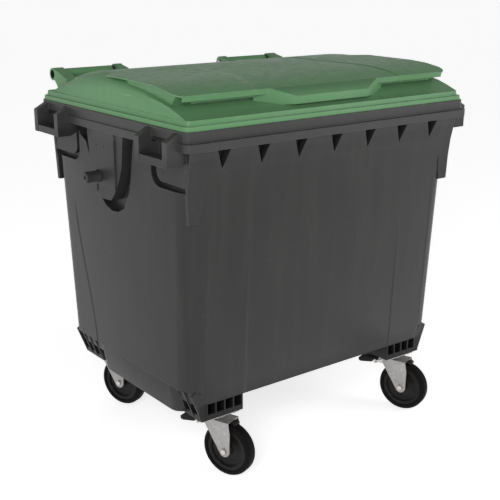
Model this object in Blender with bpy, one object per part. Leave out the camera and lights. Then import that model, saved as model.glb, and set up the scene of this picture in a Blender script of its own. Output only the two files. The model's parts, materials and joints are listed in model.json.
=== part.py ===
"""Four-wheeled refuse bin with a dome lid: tub, lid, hinges, trunnions, casters and brakes.

Lengths are metres, +Z is up, the front faces -Y. Heights are above the floor.
Y is written from the middle of the rim and the whole model is moved by SHIFT_Y at the end.
"""

import math

import bmesh
import bpy
from mathutils import Matrix, Vector

# ---- Sizes that a user may change ----
RIM_HALF_W = 0.635
RIM_HALF_D = 0.498
RIM_TOP = 1.258
RIM_STEP_Z = 1.223
RIM_LOW = 1.196
RIM_STEP = 0.015
SIDE_STEP = 0.006
RIM_CORNER = 0.028
OPEN_HALF_W = 0.588
OPEN_HALF_D = 0.452
WALL = 0.0055
WALL_TOP_W = 0.610
WALL_TOP_D = 0.462
WALL_LOW_W = 0.594
WALL_LOW_D = 0.425
WALL_LOW_Z = 0.345
WALL_CORNER = 0.080
FRONT_FLARE = 0.024
FRONT_EDGE_Z = 0.292
BELLY_Z = 0.238
FRAME_OUT = 0.683
FRAME_Y = 0.365
FRAME_W = 0.190
FRAME_CHEEK = 0.026
FRAME_LOW = 1.146
TRUNNION_END = 0.685
TRUNNION_R = 0.020
TRUNNION_Y = 0.074
TRUNNION_Z = 1.030
LID_AXIS_Y = 0.555
LID_AXIS_Z = 1.340
LID_CROWN = 1.390
BARREL_R = 0.024
GRIP_R = 0.019
HINGE_PIN_R = 0.008
WHEEL_R = 0.100
TYRE_HALF_W = 0.024
TYRE_DEPTH = 0.019
CASTER_X = 0.442
CASTER_Y = 0.3675
CASTER_TRAIL = 0.055
CASTER_TURN = math.radians(20.4)
CASTER_H = 0.230
PLATE_T = 0.004
GAP = 0.0003
ROUND = 24

# ---- Sizes that follow from them ----
LID_LOW = RIM_TOP + GAP
REAR_END = LID_AXIS_Y + BARREL_R
FRONT_END = RIM_HALF_D + RIM_STEP
AXLE_Z = WHEEL_R * math.cos(math.pi / ROUND)
WHEEL_REACH = (CASTER_TRAIL + AXLE_Z) * math.cos(CASTER_TURN)
WHEEL_FRONT = CASTER_Y + WHEEL_REACH + (TYRE_HALF_W - 0.011) * math.sin(CASTER_TURN)
SHIFT_Y = (max(FRONT_END, WHEEL_FRONT) - REAR_END) / 2


def empty_scene():
    for old in list(bpy.data.objects):
        bpy.data.objects.remove(old, do_unlink=True)


empty_scene()
part = bpy.data.collections.new("refuse_bin")
tools = bpy.data.collections.new("cutters")
bpy.context.scene.collection.children.link(part)
bpy.context.scene.collection.children.link(tools)
tools.hide_render = True


def paint(name, color, metallic, roughness):
    made = bpy.data.materials.new(name)
    made.use_nodes = True
    shader = made.node_tree.nodes["Principled BSDF"]
    shader.inputs["Base Color"].default_value = (*color, 1.0)
    shader.inputs["Metallic"].default_value = metallic
    shader.inputs["Roughness"].default_value = roughness
    made.diffuse_color = (*color, 1.0)
    return made


GREY = paint("body_grey", (0.075, 0.077, 0.078), 0.0, 0.5)
GREEN = paint("lid_green", (0.140, 0.260, 0.150), 0.0, 0.45)
STEEL = paint("galvanised", (0.46, 0.45, 0.44), 0.9, 0.42)
ZINC = paint("zinc_bolt", (0.55, 0.54, 0.50), 0.95, 0.35)
CORE = paint("wheel_core", (0.080, 0.080, 0.085), 0.0, 0.5)
TYRE = paint("tyre_rubber", (0.020, 0.020, 0.021), 0.0, 0.7)
BLACK = paint("brake_black", (0.018, 0.018, 0.019), 0.0, 0.5)


def finish(name, mesh, material, cutter):
    """Makes the object from a bmesh and puts it in the collection it belongs to."""
    bmesh.ops.remove_doubles(mesh, verts=mesh.verts, dist=1e-6)
    bmesh.ops.recalc_face_normals(mesh, faces=mesh.faces)
    data = bpy.data.meshes.new(name)
    mesh.to_mesh(data)
    mesh.free()
    made = bpy.data.objects.new(name, data)
    if cutter:
        tools.objects.link(made)
        made.hide_render = True
        made.display_type = "WIRE"
    else:
        part.objects.link(made)
        data.materials.append(material)
    return made


def turned_ring(half_w, front, rear, corner, per_corner=5):
    """Points of a rounded rectangle, from its front right corner anticlockwise."""
    points = []
    middles = (
        (half_w - corner, front + corner, -90),
        (half_w - corner, rear - corner, 0),
        (corner - half_w, rear - corner, 90),
        (corner - half_w, front + corner, 180),
    )
    for mid_x, mid_y, start in middles:
        for step in range(per_corner + 1):
            turn = math.radians(start + 90 * step / per_corner)
            points.append((mid_x + corner * math.cos(turn), mid_y + corner * math.sin(turn)))
    return points


def loft(name, sections, material=None, per_corner=5, cutter=True):
    """A closed solid through rounded rectangles (z, half width, front, rear, corner)."""
    mesh = bmesh.new()
    rings = []
    for z, half_w, front, rear, corner in sections:
        ring = turned_ring(half_w, front, rear, corner, per_corner)
        rings.append([mesh.verts.new((x, y, z)) for x, y in ring])
    for low, high in zip(rings, rings[1:]):
        count = len(low)
        for i in range(count):
            j = (i + 1) % count
            mesh.faces.new((low[i], low[j], high[j], high[i]))
    mesh.faces.new(list(reversed(rings[0])))
    mesh.faces.new(rings[-1])
    return finish(name, mesh, material, cutter)


def prism(name, outline, axis, low, high, material=None, cutter=True):
    """Extrudes an outline along x, y or z. The outline holds the other two coordinates in order."""
    mesh = bmesh.new()
    place = {
        "x": lambda a, b: (low, a, b),
        "y": lambda a, b: (a, low, b),
        "z": lambda a, b: (a, b, low),
    }[axis]
    face = mesh.faces.new([mesh.verts.new(place(a, b)) for a, b in outline])
    grown = bmesh.ops.extrude_face_region(mesh, geom=[face])
    moved = [item for item in grown["geom"] if isinstance(item, bmesh.types.BMVert)]
    along = Vector([high - low if letter == axis else 0.0 for letter in "xyz"])
    bmesh.ops.translate(mesh, verts=moved, vec=along)
    return finish(name, mesh, material, cutter)


def box(name, low, high, material=None, cutter=True):
    mesh = bmesh.new()
    bmesh.ops.create_cube(mesh, size=1.0)
    size = [b - a for a, b in zip(low, high)]
    middle = [(a + b) / 2 for a, b in zip(low, high)]
    bmesh.ops.scale(mesh, verts=mesh.verts, vec=size)
    bmesh.ops.translate(mesh, verts=mesh.verts, vec=middle)
    return finish(name, mesh, material, cutter)


def lathe(name, profile, axis, middle, material=None, steps=ROUND, cutter=True, start=0.0):
    """Turns (radius, along) points about an axis through middle. A hollow profile gives a ring."""
    mesh = bmesh.new()
    hollow = min(radius for radius, along in profile) > 1e-5
    verts = [mesh.verts.new((radius, 0.0, along)) for radius, along in profile]
    edges = [mesh.edges.new(pair) for pair in zip(verts, verts[1:])]
    if hollow:
        edges.append(mesh.edges.new((verts[-1], verts[0])))
    bmesh.ops.spin(
        mesh,
        geom=verts + edges,
        cent=(0, 0, 0),
        axis=(0, 0, 1),
        angle=2 * math.pi,
        steps=steps,
        use_merge=True,
    )
    bmesh.ops.remove_doubles(mesh, verts=mesh.verts, dist=1e-6)
    turn = {
        "x": Matrix.Rotation(math.radians(90), 4, "Y"),
        "y": Matrix.Rotation(math.radians(-90), 4, "X"),
        "z": Matrix.Identity(4),
    }[axis]
    turn = turn @ Matrix.Rotation(start, 4, "Z")
    bmesh.ops.transform(mesh, matrix=Matrix.Translation(middle) @ turn, verts=mesh.verts)
    return finish(name, mesh, material, cutter)


def rod(name, radius, axis, low, high, across, material=None, steps=24, cutter=True, start=0.0):
    """A plain cylinder along an axis from low to high, across holds its other two coordinates."""
    profile = [(0.0, low), (radius, low), (radius, high), (0.0, high)]
    middle = {
        "x": (0.0, across[0], across[1]),
        "y": (across[0], 0.0, across[1]),
        "z": (across[0], across[1], 0.0),
    }[axis]
    return lathe(name, profile, axis, middle, material, steps, cutter, start)


def combine(target, others, operation):
    for other in others:
        step = target.modifiers.new(operation.lower() + "_" + other.name[:40], "BOOLEAN")
        step.operation = operation
        step.solver = "EXACT"
        step.object = other


def join(target, *others):
    combine(target, others, "UNION")


def cut(target, *others):
    combine(target, others, "DIFFERENCE")


SIDES = (("l", -1), ("r", 1))
CORNERS = (("fl", -1, -1), ("fr", 1, -1), ("rl", -1, 1), ("rr", 1, 1))


def spanned(side, near, far):
    """Low and high X of something between two distances from the middle plane."""
    return (near, far) if side > 0 else (-far, -near)


# ---- Tub: outer skin ----
# Height and distance from the middle plane of the front wall and of the rear wall.
FRONT_RAKE = (
    (0.940, WALL_TOP_D - 0.006),
    (1.040, WALL_TOP_D - 0.003),
    (1.105, WALL_TOP_D + 0.003),
    (RIM_LOW + 0.010, WALL_TOP_D + FRONT_FLARE),
)
REAR_RAKE = (
    (0.940, WALL_TOP_D - 0.006),
    (1.040, WALL_TOP_D - 0.004),
    (1.105, WALL_TOP_D - 0.002),
    (RIM_LOW + 0.010, WALL_TOP_D),
)
TOP_W = (WALL_TOP_W - 0.004, WALL_TOP_W - 0.002, WALL_TOP_W, WALL_TOP_W)
TOP_CORNER = (0.080, 0.075, 0.060, 0.055)
skin = [
    (FRONT_EDGE_Z, WALL_LOW_W - 0.036, 0.006 - WALL_LOW_D, WALL_LOW_D - 0.006, 0.060),
    (WALL_LOW_Z - 0.006, WALL_LOW_W - 0.022, 0.003 - WALL_LOW_D, WALL_LOW_D - 0.003, 0.065),
    (WALL_LOW_Z, WALL_LOW_W, -WALL_LOW_D, WALL_LOW_D, WALL_CORNER),
]
for (z, front), (z, rear), half_w, corner in zip(FRONT_RAKE, REAR_RAKE, TOP_W, TOP_CORNER):
    skin.append((z, half_w, -front, rear, corner))
tub = loft("tub_shell", skin, GREY, cutter=False)

low_band = (RIM_HALF_W + SIDE_STEP, -FRONT_END, FRONT_END, RIM_CORNER)
high_band = (RIM_HALF_W, -RIM_HALF_D, RIM_HALF_D, RIM_CORNER)
rim = loft(
    "cut_rim",
    [
        (RIM_LOW, *low_band),
        (RIM_STEP_Z, *low_band),
        (RIM_STEP_Z + 0.0005, *high_band),
        (RIM_TOP, *high_band),
    ],
)
join(tub, rim)

# ---- Tub: belly between the casters, and the four caster seats ----
belly = loft(
    "cut_belly",
    [
        (BELLY_Z, WALL_LOW_W - 0.022, -0.322, 0.212, 0.045),
        (WALL_LOW_Z - 0.003, WALL_LOW_W - 0.007, -0.334, 0.224, 0.048),
        (WALL_LOW_Z + 0.012, WALL_LOW_W - 0.012, -0.334, 0.224, 0.048),
    ],
)
join(tub, belly)
SEAT_X = (0.360, 0.538)
SEAT_Y = (0.270, 0.415)
for tag, sx, sy in CORNERS:
    x_near, x_far = spanned(sx, *SEAT_X)
    y_near, y_far = spanned(sy, *SEAT_Y)
    slab = box("cut_slab_" + tag, (x_near, y_near, CASTER_H), (x_far, y_far, CASTER_H + 0.020))
    join(tub, slab)
    for count, at in enumerate((0.322, 0.273, 0.365, 0.411)):
        inner_edge = SEAT_X[0] if count == 0 else 0.515
        leaning = [
            (inner_edge, CASTER_H + 0.004),
            (SEAT_X[1], CASTER_H + 0.004),
            (WALL_LOW_W - 0.016, WALL_LOW_Z - 0.010),
            (WALL_LOW_W - 0.040, WALL_LOW_Z + 0.004),
            (inner_edge, FRONT_EDGE_Z + 0.010),
        ]
        outline = [(sx * a, b) for a, b in leaning]
        y_a, y_b = spanned(sy, at - 0.003, at + 0.003)
        join(tub, prism(f"cut_rib_{tag}_{count}", outline, "y", y_a, y_b))
    for count, at in enumerate((0.363, 0.401, 0.439, 0.477, 0.515)):
        x_a, x_b = spanned(sx, at - 0.003, at + 0.003)
        y_a, y_b = spanned(sy, SEAT_Y[0] + 0.002, SEAT_Y[1] + 0.001)
        rib = box(f"cut_web_{tag}_{count}", (x_a, y_a, CASTER_H + 0.003), (x_b, y_b, FRONT_EDGE_Z + 0.010))
        join(tub, rib)

# ---- Tub: corner posts under the rim ----
for tag, sx, sy in CORNERS:
    face = [
        (0.560, 0.952),
        (WALL_TOP_W - 0.008, 0.952),
        (WALL_TOP_W + 0.002, RIM_LOW + 0.012),
        (0.535, RIM_LOW + 0.012),
    ]
    post = prism("cut_post_" + tag, [(sx * a, b) for a, b in face], "y", *spanned(sy, 0.440, 0.520))
    rake = FRONT_RAKE if sy < 0 else REAR_RAKE
    slope = [(sy * (depth - 0.0008), z) for z, depth in rake]
    slope += [(slope[-1][0], RIM_LOW + 0.014), (sy * 0.430, RIM_LOW + 0.014), (sy * 0.430, rake[0][0])]
    trim = prism("cut_post_trim_" + tag, slope, "x", *spanned(sx, 0.500, 0.640))
    combine(post, [trim], "INTERSECT")
    join(tub, post)

# ---- Tub: inside space, less the walls behind each recess ----
space = [
    (FRONT_EDGE_Z + 0.006, WALL_LOW_W - 0.042, 0.012 - WALL_LOW_D, WALL_LOW_D - 0.012, 0.055),
    (WALL_LOW_Z, WALL_LOW_W - 0.028, 0.009 - WALL_LOW_D, WALL_LOW_D - 0.009, 0.060),
    (WALL_LOW_Z + 0.006, WALL_LOW_W - WALL, WALL - WALL_LOW_D, WALL_LOW_D - WALL, 0.0745),
]
for (z, front), (z, rear), half_w, corner in zip(FRONT_RAKE, REAR_RAKE, TOP_W, TOP_CORNER):
    low = min(z, RIM_LOW - 0.002)
    space.append((low, half_w - WALL, WALL + 0.0015 - front, rear - WALL, corner - 0.005))
space += [
    (RIM_LOW + 0.012, OPEN_HALF_W, -OPEN_HALF_D, OPEN_HALF_D, 0.045),
    (RIM_TOP + 0.020, OPEN_HALF_W, -OPEN_HALF_D, OPEN_HALF_D, 0.045),
]
cavity = loft("cut_cavity", space)
pit = loft(
    "cut_pit",
    [
        (BELLY_Z + 0.006, WALL_LOW_W - 0.028, -0.316, 0.206, 0.039),
        (WALL_LOW_Z + 0.010, WALL_LOW_W - 0.016, -0.328, 0.218, 0.042),
    ],
)
join(cavity, pit)

NOTCH_X = [(count - 3) * 0.160 for count in range(7)]
NOTCH_HALF = 0.0285
NOTCH_TIP = 1.124
notches = []
for count, at in enumerate(NOTCH_X):
    hole = [(at - NOTCH_HALF, RIM_LOW), (at, NOTCH_TIP), (at + NOTCH_HALF, RIM_LOW)]
    back = [
        (at - NOTCH_HALF - 0.006, RIM_LOW + 0.016),
        (at - NOTCH_HALF - 0.006, RIM_LOW + 0.001),
        (at, NOTCH_TIP - 0.014),
        (at + NOTCH_HALF + 0.006, RIM_LOW + 0.001),
        (at + NOTCH_HALF + 0.006, RIM_LOW + 0.016),
    ]
    notches.append(prism(f"cut_notch_{count}", hole, "y", -0.560, -0.4400))
    cut(cavity, prism(f"cut_notch_back_{count}", back, "y", -0.500, -0.4345))

PADDLE_RECESS = [
    (0.262, RIM_LOW + 0.002),
    (0.240, 1.158),
    (0.196, 1.135),
    (0.172, 1.086),
    (0.160, 1.034),
    (0.128, 0.963),
    (0.072, 0.919),
    (0.030, 0.907),
    (-0.010, 0.910),
    (-0.055, 0.930),
    (-0.100, 1.006),
    (-0.119, 1.083),
    (-0.132, 1.150),
    (-0.140, RIM_LOW + 0.002),
]
PADDLE = [
    (0.158, RIM_LOW + 0.008),
    (0.142, 1.100),
    (0.128, 1.030),
    (0.094, 0.966),
    (0.056, 0.950),
    (0.000, 0.953),
    (-0.022, 0.975),
    (-0.060, 1.030),
    (-0.083, 1.085),
    (-0.098, RIM_LOW + 0.008),
]
RECESS_DEPTH = 0.034


def grown(outline, by):
    """The outline pushed outwards from its middle by a set distance."""
    mid_a = sum(a for a, b in outline) / len(outline)
    mid_b = sum(b for a, b in outline) / len(outline)
    moved = []
    for a, b in outline:
        away = math.hypot(a - mid_a, b - mid_b)
        moved.append((a + by * (a - mid_a) / away, b + by * (b - mid_b) / away))
    return moved


def hollow(sy, near, far, low, high, bend):
    """A rectangle in Y and Z whose corner nearest the middle and the floor is rounded."""
    outline = [(sy * far, low), (sy * far, high), (sy * near, high)]
    for step in range(7):
        turn = math.radians(180 + 90 * step / 6)
        outline.append((sy * (near + bend + bend * math.cos(turn)), low + bend + bend * math.sin(turn)))
    return outline


cuts = []
late = []
floor_x = WALL_TOP_W - RECESS_DEPTH
for tag, side in SIDES:
    x_a, x_b = spanned(side, floor_x, WALL_TOP_W + 0.020)
    cuts.append(prism("cut_recess_" + tag, PADDLE_RECESS, "x", x_a, x_b))
    x_a, x_b = spanned(side, floor_x - WALL, WALL_TOP_W + 0.020)
    behind = grown(PADDLE_RECESS, 0.009)
    cut(cavity, prism("cut_recess_back_" + tag, behind, "x", x_a, x_b))
    x_a, x_b = spanned(side, floor_x - 0.002, WALL_TOP_W + 0.016)
    late.append(prism("cut_paddle_" + tag, PADDLE, "x", x_a, x_b))
    column = [(-0.042, 1.000), (0.099, 1.000), (0.099, RIM_LOW + 0.010), (-0.042, RIM_LOW + 0.010)]
    x_a, x_b = spanned(side, floor_x - 0.002, WALL_TOP_W + 0.021)
    late.append(prism("cut_column_" + tag, column, "x", x_a, x_b))
    x_a, x_b = spanned(side, floor_x - 0.002, WALL_TOP_W + 0.019)
    late.append(box("cut_fin_" + tag, (x_a, 0.093, 0.972), (x_b, 0.099, 1.002)))
    for count, (sy, end) in enumerate(((-1, "f"), (1, "r"))):
        near = FRAME_Y - 0.118
        far = FRAME_Y + 0.080
        x_a, x_b = spanned(side, WALL_TOP_W - 0.026, WALL_TOP_W + 0.012)
        name = end + tag
        outline = hollow(sy, near, far, 1.052, RIM_LOW + 0.002, 0.050)
        cuts.append(prism("cut_grip_" + name, outline, "x", x_a, x_b))
        x_a, x_b = spanned(side, WALL_TOP_W - 0.026 - WALL, WALL_TOP_W + 0.012)
        outline = hollow(sy, near - 0.006, far + 0.006, 1.046, RIM_LOW + 0.008, 0.053)
        cut(cavity, prism("cut_grip_back_" + name, outline, "x", x_a, x_b))
        x_a, x_b = spanned(side, WALL_TOP_W - 0.028, WALL_TOP_W - 0.004)
        outline = hollow(sy, near + 0.028, far + 0.001, 1.072, RIM_LOW + 0.004, 0.036)
        late.append(prism("cut_pad_" + name, outline, "x", x_a, x_b))

cut(tub, cavity)
cut(tub, *cuts)
join(tub, *late)

# ---- Tub: channel under the rim, open downwards, at the sides and the rear ----
for tag, side in SIDES:
    x_a, x_b = spanned(side, WALL_TOP_W, RIM_HALF_W + SIDE_STEP - 0.006)
    for count, (y_a, y_b) in enumerate(((-0.440, -0.048), (0.105, 0.440))):
        low, high = (x_a, y_a, RIM_LOW - 0.002), (x_b, y_b, RIM_STEP_Z - 0.004)
        channel = box(f"cut_channel_{tag}_{count}", low, high)
        cut(tub, channel)
rear_channel = box(
    "cut_channel_rear",
    (-0.230, WALL_TOP_D, RIM_LOW - 0.002),
    (0.230, FRONT_END - 0.006, RIM_STEP_Z - 0.004),
)
cut(tub, rear_channel)
cut(tub, *notches)

# ---- Tub: lifting frames, each two cheeks and a lower bar ----
for tag, sx, sy in CORNERS:
    half = FRAME_W / 2
    section = [
        (RIM_HALF_W - 0.002, 1.252),
        (RIM_HALF_W + 0.003, 1.252),
        (FRAME_OUT, 1.228),
        (FRAME_OUT, FRAME_LOW),
        (RIM_HALF_W - 0.004, FRAME_LOW),
        (WALL_TOP_W - 0.006, FRAME_LOW + 0.014),
        (WALL_TOP_W - 0.006, RIM_LOW + 0.010),
        (RIM_HALF_W - 0.002, RIM_LOW + 0.010),
    ]
    outline = [(sx * a, b) for a, b in section]
    for count, (near, far) in enumerate(((-half, FRAME_CHEEK - half), (half - FRAME_CHEEK, half))):
        y_a, y_b = spanned(sy, FRAME_Y + near, FRAME_Y + far)
        join(tub, prism(f"cut_cheek_{tag}_{count}", outline, "y", y_a, y_b))
    y_a, y_b = spanned(sy, FRAME_Y - half + 0.010, FRAME_Y + half - 0.010)
    x_a, x_b = spanned(sx, RIM_HALF_W + 0.005, FRAME_OUT - 0.0008)
    join(tub, box("cut_bar_" + tag, (x_a, y_a, FRAME_LOW + 0.0008), (x_b, y_b, FRAME_LOW + 0.026)))
for tag, sx, sy in CORNERS:
    reach_y = FRAME_W / 2 - FRAME_CHEEK
    y_a, y_b = spanned(sy, FRAME_Y - reach_y, FRAME_Y + reach_y)
    x_a, x_b = spanned(sx, WALL_TOP_W + 0.0005, FRAME_OUT + 0.020)
    cut(tub, box("cut_hand_" + tag, (x_a, y_a, FRAME_LOW + 0.026), (x_b, y_b, RIM_STEP_Z + 0.003)))

# ---- Tub: lugs that carry the lid ----
LUGS = ((0.280, 0.292), (0.495, 0.507))
LUG_SIDE_GAP = 0.0025
EYE_R = 0.019


def eye_profile():
    """YZ outline of a lug: a foot on the rear rim and a round eye about the lid axis."""
    outline = [(0.470, 1.165), (0.512, 1.165), (0.566, 1.225)]
    for step in range(9):
        turn = math.radians(-20 + 220 * step / 8)
        outline.append((LID_AXIS_Y + EYE_R * math.cos(turn), LID_AXIS_Z + EYE_R * math.sin(turn)))
    outline += [(0.5015, 1.285), (0.5015, 1.256), (0.470, 1.256)]
    return outline


for tag, side in SIDES:
    for count, (near, far) in enumerate(LUGS):
        x_a, x_b = spanned(side, near + LUG_SIDE_GAP, far - LUG_SIDE_GAP)
        join(tub, prism(f"cut_lug_{tag}_{count}", eye_profile(), "x", x_a, x_b))
for tag, side in SIDES:
    x_a, x_b = spanned(side, 0.260, 0.530)
    bore = rod("cut_lug_bore_" + tag, HINGE_PIN_R + GAP, "x", x_a, x_b, (LID_AXIS_Y, LID_AXIS_Z), steps=16)
    cut(tub, bore)

# ---- Tub: sockets for the trunnions, the drain and the caster bolts ----
for tag, side in SIDES:
    x_a, x_b = spanned(side, floor_x + 0.006, TRUNNION_END)
    socket = rod("cut_socket_" + tag, 0.014 + GAP, "x", x_a, x_b, (TRUNNION_Y, TRUNNION_Z), steps=20)
    cut(tub, socket)
DRAIN_Y = -0.255
DRAIN_R = 0.032
drain_ring = rod("cut_drain_ring", DRAIN_R + 0.010, "z", BELLY_Z - 0.006, BELLY_Z + 0.005, (0, DRAIN_Y))
join(tub, drain_ring)
cut(tub, rod("cut_drain", DRAIN_R, "z", BELLY_Z - 0.020, BELLY_Z + 0.020, (0, DRAIN_Y)))
BOLT_X = 0.0525
BOLT_Y = 0.0400
BOLT_R = 0.004
SEAT_MID_Y = CASTER_Y - 0.0055
for tag, sx, sy in CORNERS:
    for count, (bx, by) in enumerate(((-1, -1), (1, -1), (1, 1), (-1, 1))):
        at = (sx * CASTER_X + bx * BOLT_X, sy * SEAT_MID_Y + by * BOLT_Y)
        low, high = CASTER_H - 0.010, CASTER_H + 0.015
        hole = rod(f"cut_bolt_{tag}_{count}", BOLT_R + GAP, "z", low, high, at, steps=8)
        cut(tub, hole)

# ---- Trunnions ----
for tag, side in SIDES:
    start = WALL_TOP_W + 0.021 + GAP
    profile = [
        (0.0, side * (floor_x + 0.006 + 2 * GAP)),
        (0.014, side * (floor_x + 0.006 + 2 * GAP)),
        (0.014, side * start),
        (TRUNNION_R + 0.004, side * start),
        (TRUNNION_R, side * (start + 0.008)),
        (TRUNNION_R, side * (TRUNNION_END - 0.002)),
        (TRUNNION_R - 0.002, side * TRUNNION_END),
        (0.007, side * TRUNNION_END),
        (0.006, side * (TRUNNION_END - 0.012)),
        (0.0, side * (TRUNNION_END - 0.012)),
    ]
    lathe("trunnion_" + tag, profile, "x", (0, TRUNNION_Y, TRUNNION_Z), GREY, 20, cutter=False)

# ---- Lid ----
LID_FRONT = -0.470
LID_REAR = 0.472
LID_SKIN = 0.005
CROWN_Y = 0.080
VAULT_FOOT = 1.2905
# Distance from the middle plane, and how much of the rise from side arch to crown is there.
SHOULDER = ((0.535, 1.0), (0.560, 0.97), (0.590, 0.80), (0.609, 0.45), (0.617, 0.0))


def crown(y):
    """Height of the lid along its middle."""
    reach = (CROWN_Y - LID_FRONT) if y < CROWN_Y else (LID_REAR - CROWN_Y)
    away = min(1.0, abs(y - CROWN_Y) / reach)
    return VAULT_FOOT + (LID_CROWN - VAULT_FOOT) * (1 - away**2.2)


def arch(y):
    """Height of the edge where each flat side of the lid turns into the shoulder."""
    if y < -0.09:
        drop = 0.059 * ((-0.09 - y) / 0.404) ** 2.4
    else:
        drop = 0.486 * (y + 0.09) ** 2.2
    return min(crown(y), max(1.2815, 1.349 - drop))


def vault(name, inset, low):
    """The dome of the lid, made of outlines across the bin that drop at both shoulders."""
    mesh = bmesh.new()
    stations = [(-half_w, rise) for half_w, rise in reversed(SHOULDER)] + list(SHOULDER)
    count = 20
    rings = []
    for x, rise in stations:
        x -= math.copysign(1.2 * inset, x)
        front, rear = LID_FRONT + inset, LID_REAR - inset
        ring = [mesh.verts.new((x, front, low))]
        for step in range(count + 1):
            y = front + (rear - front) * step / count
            height = arch(y) + rise * (crown(y) - arch(y)) - inset
            ring.append(mesh.verts.new((x, y, height)))
        ring.append(mesh.verts.new((x, rear, low)))
        rings.append(ring)
    for left, right in zip(rings, rings[1:]):
        for i in range(len(left)):
            j = (i + 1) % len(left)
            mesh.faces.new((left[i], left[j], right[j], right[i]))
    mesh.faces.new(rings[0])
    mesh.faces.new(list(reversed(rings[-1])))
    return finish(name, mesh, None, True)


flange_sections = [
    (LID_LOW, RIM_HALF_W - 0.005, 0.005 - RIM_HALF_D, RIM_HALF_D - 0.004, 0.026),
    (1.274, RIM_HALF_W - 0.006, 0.006 - RIM_HALF_D, RIM_HALF_D - 0.005, 0.026),
    (1.2745, RIM_HALF_W - 0.014, 0.014 - RIM_HALF_D, RIM_HALF_D - 0.011, 0.024),
    (1.291, RIM_HALF_W - 0.017, 0.017 - RIM_HALF_D, RIM_HALF_D - 0.014, 0.024),
]
lid = loft("lid_shell", flange_sections, GREEN, per_corner=4, cutter=False)
join(lid, vault("cut_vault", 0.0, 1.276))

PLATE_TOP = [
    (0.060, 1.3892),
    (0.000, 1.3892),
    (-0.134, 1.3880),
    (-0.229, 1.3870),
    (-0.306, 1.3820),
    (-0.369, 1.3720),
    (-0.398, 1.3645),
    (-0.417, 1.3580),
]
PLATE_SKIN = 0.004
plate_low = [(y, z - PLATE_SKIN) for y, z in reversed(PLATE_TOP)]
brim = prism("cut_brim", PLATE_TOP + plate_low, "x", -0.620, 0.620)
half_plan = [
    (0.580, -0.4200),
    (0.601, -0.4130),
    (0.614, -0.4000),
    (0.620, -0.3800),
    (0.620, 0.010),
    (0.550, 0.0599),
]
plan = half_plan + [(-x, y) for x, y in reversed(half_plan)]
combine(brim, [prism("cut_brim_plan", plan, "z", 1.30, 1.42)], "INTERSECT")
join(lid, brim)
edge = [(-0.4165, 1.3578), (-0.4115, 1.3590), (-0.4075, 1.3400), (-0.4125, 1.3385)]
join(lid, prism("cut_edge", edge, "x", -0.590, 0.590))
visor = PLATE_TOP[:-1] + [(-0.395, 1.329), (-0.360, 1.318), (-0.340, 1.300), (0.060, 1.300)]
join(lid, prism("cut_visor", visor, "x", -0.545, 0.545))
cheeks = PLATE_TOP[:-1] + [(-0.372, 1.335), (-0.340, 1.300), (0.060, 1.300)]
cheek = prism("cut_visor_side", cheeks, "x", -0.600, 0.600)
half_plan = [(0.601, -0.45), (0.601, -0.110), (0.545, 0.0597)]
plan = half_plan + [(-x, y) for x, y in reversed(half_plan)]
combine(cheek, [prism("cut_visor_plan", plan, "z", 1.25, 1.42)], "INTERSECT")
join(lid, cheek)
LIP = [(-0.297, -0.390), (-0.165, -0.458), (0.165, -0.458), (0.297, -0.390)]
lip = prism("cut_lip", LIP, "z", 1.303, 1.370)
lip_slope = [
    (-0.480, 1.3255),
    (-0.458, 1.3300),
    (-0.417, 1.3583),
    (-0.398, 1.3648),
    (-0.385, 1.3690),
    (-0.385, 1.400),
    (-0.480, 1.400),
]
cut(lip, prism("cut_lip_slope", lip_slope, "x", -0.40, 0.40))
join(lid, lip)

inner = loft(
    "cut_lid_space",
    [
        (LID_LOW - 0.02, RIM_HALF_W - 0.042, 0.040 - RIM_HALF_D, RIM_HALF_D - 0.040, 0.020),
        (1.285, RIM_HALF_W - 0.042, 0.040 - RIM_HALF_D, RIM_HALF_D - 0.040, 0.020),
    ],
    per_corner=3,
)
join(inner, vault("cut_vault_in", LID_SKIN, 1.270))
visor_in = [(y, z - LID_SKIN) for y, z in PLATE_TOP[2:5]] + [
    (-0.352, 1.3665),
    (-0.352, 1.333),
    (-0.334, 1.296),
    (-0.120, 1.296),
]
join(inner, prism("cut_visor_in", visor_in, "x", -0.594, 0.594))
cut(lid, inner)
FINGER = [(-0.270, -0.362), (-0.160, -0.451), (0.160, -0.451), (0.270, -0.362)]
finger = prism("cut_finger", FINGER, "z", 1.270, 1.360)
under = [
    (-0.456, 1.2990),
    (-0.440, 1.3045),
    (-0.400, 1.3205),
    (-0.362, 1.3330),
    (-0.362, 1.3480),
    (-0.400, 1.3470),
    (-0.456, 1.3225),
]
combine(finger, [prism("cut_finger_trim", under, "x", -0.300, 0.300)], "INTERSECT")
cut(lid, finger)
reach = [
    (-0.399, 1.3235),
    (-0.372, 1.3340),
    (-0.372, 1.3520),
    (-0.389, 1.3520),
    (-0.389, 1.3300),
    (-0.399, 1.3300),
]
for tag, side in SIDES:
    x_a, x_b = spanned(side, 0.300, 0.530)
    cut(lid, prism("cut_reach_" + tag, reach, "x", x_a, x_b))

BARRELS = ((0.247, 0.280), (0.507, 0.552))


def barrel_profile():
    """YZ outline of a hinge barrel with the arm that ties it to the lid."""
    outline = [(0.440, 1.268), (0.490, 1.268)]
    for step in range(15):
        turn = math.radians(-125 + 250 * step / 14)
        outline.append((LID_AXIS_Y + BARREL_R * math.cos(turn), LID_AXIS_Z + BARREL_R * math.sin(turn)))
    outline += [(0.500, 1.352), (0.440, 1.330)]
    return outline


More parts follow.
